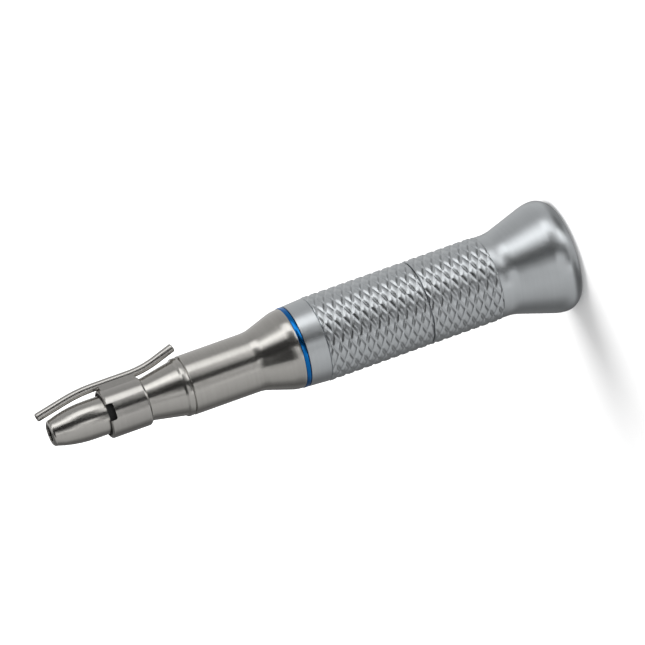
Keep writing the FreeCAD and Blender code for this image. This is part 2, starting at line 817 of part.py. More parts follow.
def make_nose_seal():
    """Seal ring between the neck and the spindle, behind the chuck."""
    return tube("nose_seal", "shaft_radius + running_fit", "neck_bore_radius",
                "nose_spigot_end - nose_seal_inset - nose_seal_length",
                "nose_spigot_end - nose_seal_inset")


# Bearings


def race_corners(wall, pitch, ball, bottom, width):
    """Corners of one race: its wall, a land at each side of the groove, and the groove."""
    side = 1 if size(wall) > size(pitch) else -1
    land = f"{pitch} + race_land" if side > 0 else f"{pitch} - race_land"
    groove = f"({ball} + raceway_fit)"
    half = f"sqrt({groove} ^ 2 - race_land ^ 2)"
    middle = f"{bottom} + {width} / 2"
    bow = groove if side > 0 else "0 - " + groove
    return [
        (wall, bottom),
        (wall, f"{bottom} + {width}"),
        (land, f"{bottom} + {width}"),
        (land, f"{middle} + {half}", "0 - " + bow if side > 0 else groove),
        (land, f"{middle} - {half}"),
        (land, bottom),
    ]


def make_balls(label, pitch, height, ball, count):
    """Ring of balls between two races."""
    step = 360.0 / count
    reach = FreeCAD.Vector(size(pitch), 0, size(height))
    turned = [FreeCAD.Rotation(FreeCAD.Vector(0, 0, 1), step * index) for index in range(count)]
    balls = [Part.makeSphere(size(ball), rotation.multVec(reach)) for rotation in turned]
    item = DOC.addObject("Part::Feature", label)
    item.Label = label
    item.Shape = Part.makeCompound(balls)
    return item


def make_bearing(name, outer, bottom, width, ball, count):
    """Two races and their balls."""
    pitch = f"(journal_radius + {outer}) / 2"
    turn(name + "_outer_race", race_corners(outer, pitch, ball, bottom, width))
    turn(name + "_inner_race", race_corners("journal_radius", pitch, ball, bottom, width))
    make_balls(name + "_balls", pitch, f"{bottom} + {width} / 2", ball, int(SIZES[count]))


def make_bearings():
    """Rear bearing, the front pair, and what spaces and clamps them."""
    make_bearing("rear_bearing", "rear_bearing_outer", "rear_bearing_z", "rear_bearing_width",
                 "rear_ball_radius", "rear_ball_count")
    for name, bottom in (("front_bearing", "front_bearing_z"), ("second_bearing", "second_bearing_z")):
        make_bearing(name, "front_bearing_outer", bottom, "front_bearing_width",
                     "front_ball_radius", "front_ball_count")
    front_pitch = "(journal_radius + front_bearing_outer) / 2"
    tube("outer_spacer", f"{front_pitch} + race_land", "front_bearing_outer",
         "second_bearing_end", "front_bearing_z")
    tube("inner_spacer", "journal_radius", f"{front_pitch} - race_land",
         "second_bearing_end", "front_bearing_z")
    tube("bearing_nut", "bearing_nut_bore", "front_bearing_outer", "bearing_nut_z", "second_bearing_z")
    tube("spindle_nut", "journal_radius", "spindle_nut_radius",
         "second_bearing_z - spindle_nut_length", "second_bearing_z")
    tube("preload_washer", "washer_inner_radius", "rear_bearing_outer", "rear_pocket_z", "rear_bearing_z")


# Spindle and chuck


def make_spindle():
    """Hollow spindle with bearing shoulders and the cone that closes the collet."""
    mouth = "collet_head_radius + running_fit"
    throat = "collet_radius + running_fit"
    body = turn("spindle", [
        ("spindle_bore", "rear_bearing_z - dog_flange_length"),
        ("journal_radius", "rear_bearing_z - dog_flange_length"),
        ("journal_radius", "rear_bearing_end"),
        ("flange_radius", "rear_bearing_end"),
        ("flange_radius", "rear_bearing_end + flange_length"),
        ("journal_radius", "rear_bearing_end + flange_length"),
        ("journal_radius", "front_bearing_end"),
        ("flange_radius", "front_bearing_end"),
        ("flange_radius", "front_bearing_end + flange_length"),
        ("shaft_radius", "front_bearing_end + flange_length"),
        ("shaft_radius", "spindle_tip - tip_length"),
        ("tip_radius", "spindle_tip - tip_length"),
        ("tip_radius", "spindle_tip"),
        (mouth, "spindle_tip"),
        (throat, "collet_cone_z"),
        (throat, "spindle_step_z"),
        ("spindle_bore", "spindle_step_z"),
    ])
    reach = "(cross_pin_radius + running_fit)"
    cross_slot(body, reach, f"cross_pin_z - {reach}", f"cross_pin_z + chuck_travel + {reach}")
    return body


def make_drive_dog():
    """Forked dog at the rear that takes the drive of the motor."""
    seat_z = "rear_bearing_z - dog_flange_length"
    rear = f"({seat_z} - dog_flange_length - dog_length)"
    body = turn("drive_dog", [
        ("0", rear),
        ("dog_radius", rear),
        ("dog_radius", f"{seat_z} - dog_flange_length"),
        ("journal_radius", f"{seat_z} - dog_flange_length"),
        ("journal_radius", seat_z),
        ("spindle_bore", seat_z),
        ("spindle_bore", f"{seat_z} + dog_plug_length"),
        ("0", f"{seat_z} + dog_plug_length"),
    ])
    sketch = sketch_on(body, "XZ_Plane")
    draw(sketch, box_corners("0 - fork_width / 2", f"{rear} - 1", "fork_width / 2", f"{rear} + fork_depth"))
    cut_through(body, sketch)
    return body


def make_collet():
    """Three-jaw spring collet that grips the shank of the bur."""
    body = turn("collet", [
        ("bore_radius", "collet_z"),
        ("collet_tail_radius", "collet_z"),
        ("collet_tail_radius", "collet_z + collet_tail_length"),
        ("collet_radius", "collet_z + collet_tail_length"),
        ("collet_radius", "collet_cone_z"),
        ("collet_head_radius", "spindle_tip"),
        ("collet_head_radius", "collet_face - collet_lead_in"),
        ("collet_head_radius - collet_lead_in", "collet_face"),
        ("bore_radius + collet_lead_in", "collet_face"),
        ("bore_radius", "collet_face - collet_lead_in"),
    ])
    sketch = sketch_on(body, "XZ_Plane")
    draw(sketch, box_corners("0", "collet_face - collet_slot_length", "2 * collet_head_radius", "nose_tip"))
    slot = cut_through(body, sketch, "collet_slot_width")
    return repeat_round(body, slot, 3)


def make_draw_tube():
    """Tube that ties the collet to the release collar and guides the shank."""
    body = turn("draw_tube", [
        ("draw_tube_bore", "draw_tube_z"),
        ("draw_tube_radius", "draw_tube_z"),
        ("draw_tube_radius", "collet_z + collet_tail_length"),
        ("collet_tail_radius", "collet_z + collet_tail_length"),
        ("collet_tail_radius", "collet_z"),
        ("bore_radius", "collet_z"),
        ("bore_radius", "shank_stop_z"),
        ("draw_tube_bore", "shank_stop_z"),
    ])
    cross_hole(body, "cross_pin_z", "cross_pin_radius")
    return body


def make_release_collar():
    """Collar round the spindle that the pusher lifts to open the chuck."""
    body = tube("release_collar", "journal_radius + running_fit", "release_radius",
                "release_z", "release_end")
    cross_hole(body, "cross_pin_z", "cross_pin_radius")
    return body


def make_cross_pin():
    """Pin through the spindle's slots that joins the release collar to the draw tube."""
    pin = DOC.addObject("Part::Cylinder", "cross_pin")
    pin.Label = "cross_pin"
    bind(pin, "Radius", "cross_pin_radius")
    bind(pin, "Height", "2 * (release_radius - running_fit)")
    pin.Placement.Rotation = FreeCAD.Rotation(FreeCAD.Vector(1, 0, 0), 90)
    bind(pin, "Placement.Base.y", "release_radius - running_fit")
    bind(pin, "Placement.Base.z", "cross_pin_z")
    return pin


def make_disc_springs():
    """Stack of cupped spring washers that pulls the collet shut."""
    count = int(SIZES["spring_washer_count"])
    pitch = size("spring_length") / count
    thick = size("spring_washer_thickness")
    inner = size("journal_radius + running_fit")
    outer = size("release_radius")
    washers = []
    for index in range(count):
        low = size("release_end") + pitch * index
        high = low + pitch - thick
        rise = (low, high) if index % 2 else (high, low)
        spots = [
            FreeCAD.Vector(inner, 0, rise[0]),
            FreeCAD.Vector(outer, 0, rise[1]),
            FreeCAD.Vector(outer, 0, rise[1] + thick),
            FreeCAD.Vector(inner, 0, rise[0] + thick),
        ]
        face = Part.Face(Part.makePolygon(spots + spots[:1]))
        washers.append(face.revolve(FreeCAD.Vector(0, 0, 0), FreeCAD.Vector(0, 0, 1), 360))
    item = DOC.addObject("Part::Feature", "disc_springs")
    item.Label = "disc_springs"
    item.Shape = Part.makeCompound(washers)
    return item


def make_spring_seat():
    """Ring on the spindle that the spring washers push against."""
    return tube("spring_seat", "journal_radius", "release_radius",
                "spring_end", "spring_end + spring_seat_length")


# Twist mechanism


def make_pusher():
    """Sliding ring that the twist sleeve drives forward against the release collar."""
    body = tube("pusher_ring", "flange_radius + turning_room", "core_bore_radius - running_fit",
                "pusher_z", "pusher_end")
    cross_hole(body, "pusher_pin_z", "pin_radius")
    return body


def make_pusher_pins():
    """Two pins that reach from the pusher through the core tube into the cam ring."""
    pins = []
    for side, label in ((1, "left"), (-1, "right")):
        pin = DOC.addObject("Part::Cylinder", "pusher_pin_" + label)
        bind(pin, "Radius", "pin_radius")
        bind(pin, "Height", "cam_radius + pin_reach - pin_root")
        pin.Placement.Rotation = FreeCAD.Rotation(FreeCAD.Vector(1, 0, 0), -90 * side)
        bind(pin, "Placement.Base.y", f"{side} * pin_root")
        bind(pin, "Placement.Base.z", "pusher_pin_z")
        pins.append(pin)
    pair = DOC.addObject("Part::Compound", "pusher_pins")
    pair.Label = "pusher_pins"
    pair.Links = pins
    return pair


def make_cam_ring():
    """Ring inside the twist sleeve with two screw slots that drive the pusher's pins."""
    body = tube("cam_ring", "cam_radius", "cam_outer", "cam_z", "cam_end")
    reach = "(pin_radius + running_fit)"
    lead = "(chuck_travel * 360 / twist_angle)"
    overrun = f"({reach} / cam_radius * 180 / pi)"
    sketch = sketch_on(body, "YZ_Plane")
    low = f"pusher_pin_z - {lead} * {overrun} / 360"
    draw(sketch, box_corners("cam_radius - running_fit * 4", f"{low} - {reach}",
                             "cam_outer + running_fit * 4", f"{low} + {reach}"))
    sketch.AttachmentOffset = FreeCAD.Placement(FreeCAD.Vector(), FreeCAD.Rotation(FreeCAD.Vector(0, 1, 0), 1))
    bind(sketch, "AttachmentOffset.Rotation.Angle", overrun)
    before = body.Shape.Volume
    slot = body.newObject("PartDesign::SubtractiveHelix", "cam_slot")
    slot.Profile = sketch
    slot.ReferenceAxis = (sketch, ["V_Axis"])
    slot.Mode = "pitch-height-angle"
    slot.LeftHanded = True
    bind(slot, "Pitch", lead)
    bind(slot, "Height", f"{lead} * (twist_angle + 2 * {overrun}) / 360")
    DOC.recompute()
    if body.Shape.Volume >= before:
        raise RuntimeError("cam_ring: the slot missed")
    return repeat_round(body, slot, 2)


def make_sleeve_seal():
    """Seal ring in the core tube's groove, under the twist sleeve."""
    ring = DOC.addObject("Part::Torus", "sleeve_seal")
    ring.Label = "sleeve_seal"
    floor = "twist_bearing_radius - seal_groove_depth"
    thick = "(seal_groove_depth + running_fit - ball_fit * 2) / 2"
    bind(ring, "Radius2", thick)
    bind(ring, "Radius1", f"{floor} + ball_fit / 2 + {thick}")
    bind(ring, "Placement.Base.z", "twist_end - seal_groove_inset + seal_groove_width / 2")
    return ring


# Spray clip


def make_clip_ring():
    """Rubber ring that the spray clip snaps over and turns with."""
    ring = DOC.addObject("Part::Torus", "clip_ring")
    ring.Label = "clip_ring"
    bind(ring, "Radius2", "clip_ring_radius")
    bind(ring, "Radius1", "clip_seat_radius - clip_groove_depth + running_fit / 2 + clip_ring_radius")
    bind(ring, "Placement.Base.z", "clip_groove_z")
    return ring


def make_clip_collar():
    """Spring collar, slit at the back and notched in front, with the saddle that carries the tube."""
    body = turn("clip_collar", [
        ("clip_bore", "clip_z"),
        ("clip_radius - clip_rear_round", "clip_z", "clip_rear_round"),
        ("clip_radius", "clip_z + clip_rear_round"),
        ("clip_radius", "clip_end - clip_front_round", "clip_front_round"),
        ("clip_radius - clip_front_round", "clip_end"),
        ("clip_bore", "clip_end"),
    ])
    sketch = sketch_on(body, "XY_Plane", "clip_z + saddle_inset")
    draw(sketch, [
        ("clip_bore + running_fit", "0 - saddle_half_width"),
        ("tube_standoff", "0 - tube_radius"),
        ("tube_standoff", "tube_radius"),
        ("clip_bore + running_fit", "saddle_half_width"),
    ])
    saddle = body.newObject("PartDesign::Pad", "clip_saddle")
    saddle.Profile = sketch
    bind(saddle, "Length", "clip_length - 2 * saddle_inset")
    DOC.recompute()
    seat = sketch_on(body, "XY_Plane", "(clip_z + clip_end) / 2")
    draw_circle(seat, "tube_standoff", "0", "tube_radius")
    cut_through(body, seat)
    slit = sketch_on(body, "YZ_Plane")
    draw(slit, box_corners("0", "clip_z - 1", "2 * clip_radius", "clip_end + 1"))
    cut_through(body, slit, "clip_slit_width")
    notch = sketch_on(body, "XZ_Plane")
    floor = "clip_end - clip_notch_depth"
    draw(notch, [
        ("0 - clip_notch_half_width", "clip_end + 1"),
        ("0 - clip_notch_half_width", f"{floor} + clip_notch_round", "clip_notch_round"),
        ("clip_notch_round - clip_notch_half_width", floor),
        ("clip_notch_half_width - clip_notch_round", floor, "clip_notch_round"),
        ("clip_notch_half_width", f"{floor} + clip_notch_round"),
        ("clip_notch_half_width", "clip_end + 1"),
    ])
    cut_through(body, notch)
    return body


def make_spray_tube():
    """Bent metal tube along the clip, open at both ends."""
    front_z = "nose_tip + tube_rise"
    toe_in = "(tube_front_round * tan(tube_toe_in / 2))"
    splay = "(tube_rear_round * tan(tube_splay / 2))"
    body = new_body("spray_tube")
    path = sketch_on(body, "XZ_Plane")
    draw(path, [
        ("tube_standoff + tube_tail * tan(tube_splay)", "tube_rear_bend - tube_tail"),
        (f"tube_standoff + {splay} * sin(tube_splay)", f"tube_rear_bend - {splay} * cos(tube_splay)",
         "0 - tube_rear_round"),
        ("tube_standoff", f"tube_rear_bend + {splay}"),
        ("tube_standoff", f"tube_front_bend - {toe_in}", "tube_front_round"),
        (f"tube_standoff - {toe_in} * sin(tube_toe_in)", f"tube_front_bend + {toe_in} * cos(tube_toe_in)"),
        (f"tube_standoff - ({front_z} - tube_front_bend) * tan(tube_toe_in)", front_z),
    ], closed=False)
    DOC.recompute()
    section = body.newObject("Sketcher::SketchObject", "spray_tube_section")
    section.AttachmentSupport = [(path, "Edge1")]
    section.MapMode = "NormalToEdge"
    DOC.recompute()
    draw_circle(section, "0", "0", "tube_radius")
    draw_circle(section, "0", "0", "tube_bore_radius")
    pipe = body.newObject("PartDesign::AdditivePipe", "spray_tube_pipe")
    pipe.Profile = section
    pipe.Spine = path
    return finish_body(body)


def make_all():
    """Build every sub-part and return the ones that go to files."""
    make_rear_sleeve()
    make_twist_sleeve()
    make_colour_ring()
    make_front_sleeve()
    make_neck_housing()
    make_nose_cap()
    make_core_tube()
    make_bearing_carrier()
    make_carrier_circlip()
    make_nose_seal()
    make_bearings()
    make_spindle()
    make_drive_dog()
    make_collet()
    make_draw_tube()
    make_release_collar()
    make_cross_pin()
    make_disc_springs()
    make_spring_seat()
    make_pusher()
    make_pusher_pins()
    make_cam_ring()
    make_sleeve_seal()
    make_clip_ring()
    make_clip_collar()
    make_spray_tube()
    DOC.recompute()


def check_document():
    """Stop if any object failed to rebuild."""
    for item in DOC.Objects:
        if {"Invalid", "Error"} & set(item.State):
            raise RuntimeError(f"{item.Label} failed: {item.State}")


def sub_parts():
    """Objects that stand by themselves: bodies, lone solids and groups of them."""
    linked = {link.Name for item in DOC.Objects if item.isDerivedFrom("Part::Compound") for link in item.Links}
    kinds = ("PartDesign::Body", "Part::Cylinder", "Part::Torus", "Part::Compound")
    found = [item for item in DOC.Objects if item.TypeId in kinds or item.TypeId == "Part::Feature"]
    return [item for item in found if item.Name not in linked and not item.Name.endswith("_blank")]


def write_parts():
    """Check every sub-part's shape and write it to a file named by its label."""
    os.makedirs("parts", exist_ok=True)
    for item in sub_parts():
        if item.Shape.isNull() or not item.Shape.isValid() or not item.Shape.Solids:
            raise RuntimeError(item.Label + ": bad shape")
        item.Shape.exportStep(os.path.join("parts", item.Label + ".step"))
        print(f"{item.Label}: {len(item.Shape.Solids)} solids, {item.Shape.Volume:.2f} mm3")


make_all()
check_document()
write_parts()
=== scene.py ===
import bmesh
import bpy
import math
from mathutils import Matrix, Vector


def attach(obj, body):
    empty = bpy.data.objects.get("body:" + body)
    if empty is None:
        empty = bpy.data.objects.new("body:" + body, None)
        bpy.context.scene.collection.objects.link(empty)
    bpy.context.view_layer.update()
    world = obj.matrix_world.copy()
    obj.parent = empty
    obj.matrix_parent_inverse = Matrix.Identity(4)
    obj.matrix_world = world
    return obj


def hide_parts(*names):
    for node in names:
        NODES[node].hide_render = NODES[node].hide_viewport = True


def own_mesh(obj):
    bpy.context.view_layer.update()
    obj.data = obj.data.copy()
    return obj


# Straight surgical handpiece: satin knurled grip, steel front sleeve, bullet nose and a
# clip-on spray tube. It stands on its bell, with its axis along +Z. Outlines, radii, heights
# and the camera's distances are in millimetres; floor, tent, flag and lamp are in metres.

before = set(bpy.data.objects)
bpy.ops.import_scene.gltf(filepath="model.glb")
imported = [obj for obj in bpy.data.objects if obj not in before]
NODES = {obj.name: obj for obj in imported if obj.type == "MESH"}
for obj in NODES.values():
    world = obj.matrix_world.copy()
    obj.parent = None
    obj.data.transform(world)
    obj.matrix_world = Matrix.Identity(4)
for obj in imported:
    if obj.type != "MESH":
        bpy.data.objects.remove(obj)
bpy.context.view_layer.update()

MM = 0.001
MM_PER_METRE = 1000.0
WHITE = (1, 1, 1, 1)

bpy.context.scene.view_settings.view_transform = "Standard"


# Camera


def aim_camera(tilt, roll, distance, focal, across, up, middle):
    """Long lens that looks along +Y, tilted down and rolled so that the nose lies lower left."""
    tilt, roll = math.radians(tilt), math.radians(roll)
    ahead = Vector((0, math.cos(tilt), -math.sin(tilt)))
    level_up = Vector((0, math.sin(tilt), math.cos(tilt)))
    right = Vector((math.cos(roll), 0, 0)) - math.sin(roll) * level_up
    upward = Vector((math.sin(roll), 0, 0)) + math.cos(roll) * level_up
    target = Vector((0, 0, middle)) + across * right + up * upward
    place = (target - distance * ahead) * MM
    lens = bpy.data.cameras.new("long_lens")
    lens.sensor_width = 36
    lens.lens = focal
    lens.clip_start = 0.05
    lens.clip_end = 20
    camera = bpy.data.objects.new("camera", lens)
    turned = Matrix((right, upward, -ahead)).transposed().to_4x4()
    camera.matrix_world = Matrix.Translation(place) @ turned
    bpy.context.scene.collection.objects.link(camera)
    bpy.context.scene.camera = camera


aim_camera(
    tilt=15.2, roll=109.584, distance=900, focal=291.48, across=2.468, up=3.339, middle=48.25)


# Node graph helpers


def clear_nodes(block):
    """Emptied node tree of a material or a world."""
    block.use_nodes = True
    block.node_tree.nodes.clear()
    return block.node_tree


def feed(tree, node, inputs):
    """Link or set a node's inputs."""
    for socket, source in inputs.items():
        if isinstance(source, bpy.types.NodeSocket):
            tree.links.new(source, node.inputs[socket])
        else:
            node.inputs[socket].default_value = source


def wire(tree, kind, inputs=None, **settings):
    """Add a node, set its properties, and feed its inputs."""
    node = tree.nodes.new(kind)
    for name, value in settings.items():
        setattr(node, name, value)
    feed(tree, node, inputs or {})
    return node


def compute(tree, operation, first, second, clamp=False):
    """One Math node."""
    inputs = {0: first, 1: second}
    return wire(tree, "ShaderNodeMath", inputs, operation=operation, use_clamp=clamp).outputs[0]


def blend_colour(tree, share, first, second, mode="MIX"):
    """One colour Mix node; its inputs 6 and 7 are the two colours."""
    inputs = {0: share, 6: first, 7: second}
    return wire(tree, "ShaderNodeMix", inputs, data_type="RGBA", blend_type=mode).outputs[2]


def ramp(tree, value, stops):
    """Grey ramp of (position, grey) stops."""
    node = wire(tree, "ShaderNodeValToRGB", {0: value})
    steps = node.color_ramp.elements
    while len(steps) < len(stops):
        steps.new(0.5)
    for step, (position, grey) in zip(steps, stops):
        step.position = position
        step.color = (grey, grey, grey, 1)
    return node.outputs[0]


def noise(tree, spot, scale, detail, roughness=0.5):
    """Noise at a spot, from 0 to 1."""
    inputs = {"Vector": spot, "Scale": scale, "Detail": detail, "Roughness": roughness}
    return wire(tree, "ShaderNodeTexNoise", inputs).outputs[0]


def swing(tree, value, amount):
    """Noise turned into a small rise and fall about zero."""
    return compute(tree, "MULTIPLY", compute(tree, "SUBTRACT", value, 0.5), amount)


def object_place(tree):
    """Place on the piece, in metres."""
    return wire(tree, "ShaderNodeTexCoord").outputs["Object"]


def stretched_place(tree, scales):
    """Place on the piece, with each axis multiplied by a number of its own."""
    apart = wire(tree, "ShaderNodeSeparateXYZ", {0: object_place(tree)}).outputs
    inputs = {
        axis: compute(tree, "MULTIPLY", apart[axis], scale) for axis, scale in enumerate(scales)
    }
    return wire(tree, "ShaderNodeCombineXYZ", inputs).outputs[0]


def new_group(name, inputs, outputs):
    """Empty shader node group with named number sockets."""
    group = bpy.data.node_groups.new(name, "ShaderNodeTree")
    for label, start in inputs:
        socket = group.interface.new_socket(label, in_out="INPUT", socket_type="NodeSocketFloat")
        socket.default_value = start
    for label in outputs:
        group.interface.new_socket(label, in_out="OUTPUT", socket_type="NodeSocketFloat")
    source = group.nodes.new("NodeGroupInput").outputs
    sink = group.nodes.new("NodeGroupOutput").inputs
    return group, source, sink


# Shared finishes


def make_turning_marks():
    """Fine rings left by the lathe: they change along the axis, with a slow waver around it."""
    group, given, result = new_group(
        "turning_marks", [("Spacing", 0.12), ("Waver", 0.02)], ["Rings", "Broad"])
    lengthwise = compute(group, "DIVIDE", MM_PER_METRE, given["Spacing"])
    sideways = compute(group, "MULTIPLY", lengthwise, given["Waver"])
    spot = stretched_place(group, (sideways, sideways, lengthwise))
    group.links.new(noise(group, spot, scale=1.0, detail=3.0, roughness=0.65), result["Rings"])
    group.links.new(noise(group, spot, scale=0.12, detail=2.0), result["Broad"])
    return group


def make_hand_polish(drawn_out=0.04):
    """Faint lengthwise streaks and cloudy patches from handling and wiping."""
    group, given, result = new_group("hand_polish", [("Streak", 0.5)], ["Streaks", "Clouds"])
    sideways = compute(group, "DIVIDE", MM_PER_METRE, given["Streak"])
    lengthwise = compute(group, "MULTIPLY", sideways, drawn_out)
    spot = stretched_place(group, (sideways, sideways, lengthwise))
    streaks = noise(group, spot, scale=1.0, detail=4.0, roughness=0.6)
    clouds = noise(group, object_place(group), scale=160.0, detail=3.0)
    group.links.new(streaks, result["Streaks"])
    group.links.new(clouds, result["Clouds"])
    return group


def make_wear_and_crease_shade(gain=14.0):
    """Mask of convex edges rubbed bright, and of hollows, which get painted shade."""
    group, given, result = new_group(
        "wear_and_crease_shade", [("Bright from", 0.53), ("Dark from", 0.47)], ["Rubbed", "Hollow"])
    sharpness = wire(group, "ShaderNodeNewGeometry").outputs["Pointiness"]
    above = compute(group, "SUBTRACT", sharpness, given["Bright from"])
    below = compute(group, "SUBTRACT", given["Dark from"], sharpness)
    group.links.new(compute(group, "MULTIPLY", above, gain, clamp=True), result["Rubbed"])
    group.links.new(compute(group, "MULTIPLY", below, gain, clamp=True), result["Hollow"])
    return group


TURNING_MARKS = make_turning_marks()
HAND_POLISH = make_hand_polish()
WEAR_AND_CREASE_SHADE = make_wear_and_crease_shade()


def place_group(tree, group, **values):
    """Put a shared finish into a material with its own values."""
    return wire(tree, "ShaderNodeGroup", values, node_tree=group).outputs


# Materials


def new_material(name):
    """Material with only its Principled shader and output."""
    material = bpy.data.materials.new(name)
    tree = clear_nodes(material)
    shader = tree.nodes.new("ShaderNodeBsdfPrincipled")
    wire(tree, "ShaderNodeOutputMaterial", {"Surface": shader.outputs[0]})
    return material, tree, shader


def shaded(colour, factor, lift=0.0):
    """The colour times a factor, no part above 1, as a socket takes it."""
    return tuple(min(part * factor + lift, 1) for part in colour) + (1,)


def steel(name, colour, rough, spacing=0.35, ring_depth=0.0006, tint=0.08, grain=0.55,
          wear=0.25, hollow=0.5):
    """Turned steel: fine rings, lengthwise polish streaks, rubbed edges, and painted shade that
    darkens the hollows.

    Spacing and ring_depth are the rings' in millimetres, tint is how far they change the colour,
    grain is the stretch of the reflections, and wear and hollow are the shares of the rubbed tone
    and of the painted shade in hollows.
    """
    material, tree, shader = new_material(name)
    marks = place_group(tree, TURNING_MARKS, Spacing=spacing)
    polish = place_group(tree, HAND_POLISH, Streak=0.6)
    edges = place_group(tree, WEAR_AND_CREASE_SHADE)
    darker = shaded(colour, 1 - tint)
    lighter = shaded(colour, 1 + tint * 0.6)
    # Painted shade: hollows get this tone, a third of the steel's colour, as if shade fell there.
    painted_shade_tone = shaded(colour, 0.35)
    ringed = blend_colour(tree, marks["Rings"], darker, lighter)
    clouded = ramp(tree, polish["Clouds"], [(0.25, 0.94), (0.75, 1.0)])
    toned = blend_colour(tree, 1.0, ringed, clouded, "MULTIPLY")
    rubbed = blend_colour(tree, compute(tree, "MULTIPLY", edges["Rubbed"], wear), toned, lighter)
    # Share of painted shade in the hollows, from the concave mask.
    painted_crease_shade = compute(tree, "MULTIPLY", edges["Hollow"], hollow)
    unevenness = compute(
        tree, "ADD", swing(tree, marks["Broad"], 0.08), swing(tree, polish["Streaks"], 0.06))
    roughness = compute(tree, "ADD", unevenness, rough)
    relief = wire(
        tree, "ShaderNodeBump",
        {"Height": marks["Rings"], "Strength": 0.5, "Distance": ring_depth * MM})
    feed(tree, shader, {
        "Base Color": blend_colour(tree, painted_crease_shade, rubbed, painted_shade_tone),
        "Roughness": compute(tree, "MAXIMUM", roughness, 0.05),
        "Metallic": 1.0,
        "Anisotropic": grain,
        "Anisotropic Rotation": 0.25,
        "Normal": relief.outputs[0],
    })
    return material


def enamel(name, colour):
    """Glossy blue finish of the marking ring, a little uneven."""
    material, tree, shader = new_material(name)
    polish = place_group(tree, HAND_POLISH, Streak=0.8)
    edges = place_group(tree, WEAR_AND_CREASE_SHADE)
    tone = blend_colour(tree, polish["Clouds"], shaded(colour, 0.75), shaded(colour, 1))
    worn = compute(tree, "MULTIPLY", edges["Rubbed"], 0.35)
    feed(tree, shader, {
        "Base Color": blend_colour(tree, worn, tone, shaded(colour, 1.5, lift=0.03)),
        "Roughness": ramp(tree, polish["Streaks"], [(0.3, 0.16), (0.7, 0.24)]),
        "Metallic": 1.0,
        "Coat Weight": 0.15,
        "Coat Roughness": 0.12,
    })
    return material


def rubber(name):
    """Black seal rubber, a little dusty."""
    material, tree, shader = new_material(name)
    polish = place_group(tree, HAND_POLISH, Streak=0.3)
    feed(tree, shader, {
        "Base Color": ramp(tree, polish["Clouds"], [(0.3, 0.008), (0.7, 0.018)]),
        "Roughness": ramp(tree, polish["Streaks"], [(0.3, 0.5), (0.7, 0.65)]),
        "Specular IOR Level": 0.25,
    })
    return material


FINISHES = {
    "satin_grip": steel("satin_grip", (0.68, 0.71, 0.73), 0.34, tint=0.06, grain=0.3, hollow=0.6),
    "turned_steel": steel("turned_steel", (0.60, 0.585, 0.555), 0.24),
    "clip_steel": steel("clip_steel", (0.58, 0.565, 0.54), 0.24),
    "colour_ring": enamel("colour_ring", (0.004, 0.20, 0.62)),
    "core_steel": steel("core_steel", (0.55, 0.56, 0.58), 0.30, spacing=0.2),
    "chuck_steel": steel("chuck_steel", (0.50, 0.50, 0.51), 0.24, spacing=0.15),
    "blackened": steel("blackened", (0.06, 0.06, 0.065), 0.40),
    "cam_steel": steel("cam_steel", (0.46, 0.46, 0.48), 0.26),
    "race_steel": steel("race_steel", (0.66, 0.66, 0.68), 0.12, tint=0.04),
    "spring_steel": steel("spring_steel", (0.36, 0.36, 0.38), 0.30),
    "seal_rubber": rubber("seal_rubber"),
}


# Shaping helpers

EDGE = 0.05  # usual rounding of an edge
TINY = 1e-6  # a length in an outline that counts as none
WELD = 1e-7  # metres; nearer points of a mesh are joined


def curve_points(start, end, radius, step):
    """Points of an arc after its start: a plus radius bows to the right of travel, minus to
    the left, and each point is at most step degrees on."""
    chord = Vector((end[0] - start[0], end[1] - start[1]))
    side = Vector((chord.y, -chord.x)).normalized() * math.copysign(1, radius)
    drop = math.sqrt(max(radius * radius - chord.length_squared / 4, 0))
    centre = Vector(((start[0] + end[0]) / 2, (start[1] + end[1]) / 2)) - side * drop
    first = Vector(start) - centre
    sweep = first.angle_signed(Vector(end) - centre)
    count = max(2, math.ceil(abs(math.degrees(sweep)) / step))
    turns = [Matrix.Rotation(-sweep * index / count, 2) for index in range(1, count + 1)]
    return [tuple(centre + turn @ first) for turn in turns]


def leg(corner, following, step=4.0):
    """Points from one corner to the next; the corner's third term, if any, bends the way."""
    if len(corner) == 3:
        return curve_points(corner[:2], following[:2], corner[2], step)
    return [tuple(following[:2])]


def outline(corners):
    """Closed outline of (radius, height) corners; a third term bends the edge that follows."""
    points = [tuple(corners[0][:2])]
    for corner, following in zip(corners, corners[1:] + corners[:1]):
        points += leg(corner, following)
    return points[:-1]


def eased(points, edge, sharp=24.0, most=0.4, steps=3):
    """Round the sharp corners of a closed outline a little, as a real edge is. A rounding
    takes up at most a share of the sides next to it."""
    made = []
    count = len(points)
    for index in range(count):
        before, here, after = (Vector(points[(index + shift) % count]) for shift in (-1, 0, 1))
        into, out = here - before, after - here
        if into.length < TINY or out.length < TINY:
            continue
        turn = into.angle(out)
        if math.degrees(turn) < sharp:
            made.append(tuple(here))
            continue
        back = min(edge * math.tan(turn / 2), into.length * most, out.length * most)
        first, last = here - into.normalized() * back, here + out.normalized() * back
        for step in range(steps + 1):
            share = step / steps
            made.append(tuple(first.lerp(here, share).lerp(here.lerp(last, share), share)))
    return made


def skin(mesh, rings):
    """Faces between neighbouring rings of points, closed both ways."""
    for near, far in zip(rings, rings[1:] + rings[:1]):
        for index in range(len(near)):
            other = (index + 1) % len(near)
            mesh.faces.new((near[index], far[index], far[other], near[other]))


def lathe(mesh, points, steps=256):
    """Turn a closed outline about the axis."""
    rings = []
    for step in range(steps):
        angle = math.tau * step / steps
        across, deep = math.cos(angle), math.sin(angle)
        rings.append([
            mesh.verts.new((radius * across * MM, radius * deep * MM, height * MM))
            for radius, height in points
        ])
    skin(mesh, rings)


def add_object(name, mesh, material):
    """Put a built mesh into the scene, with its material."""
    data = bpy.data.meshes.new(name)
    mesh.to_mesh(data)
    mesh.free()
    data.materials.append(material)
    item = bpy.data.objects.new(name, data)
    bpy.context.scene.collection.objects.link(item)
    return item


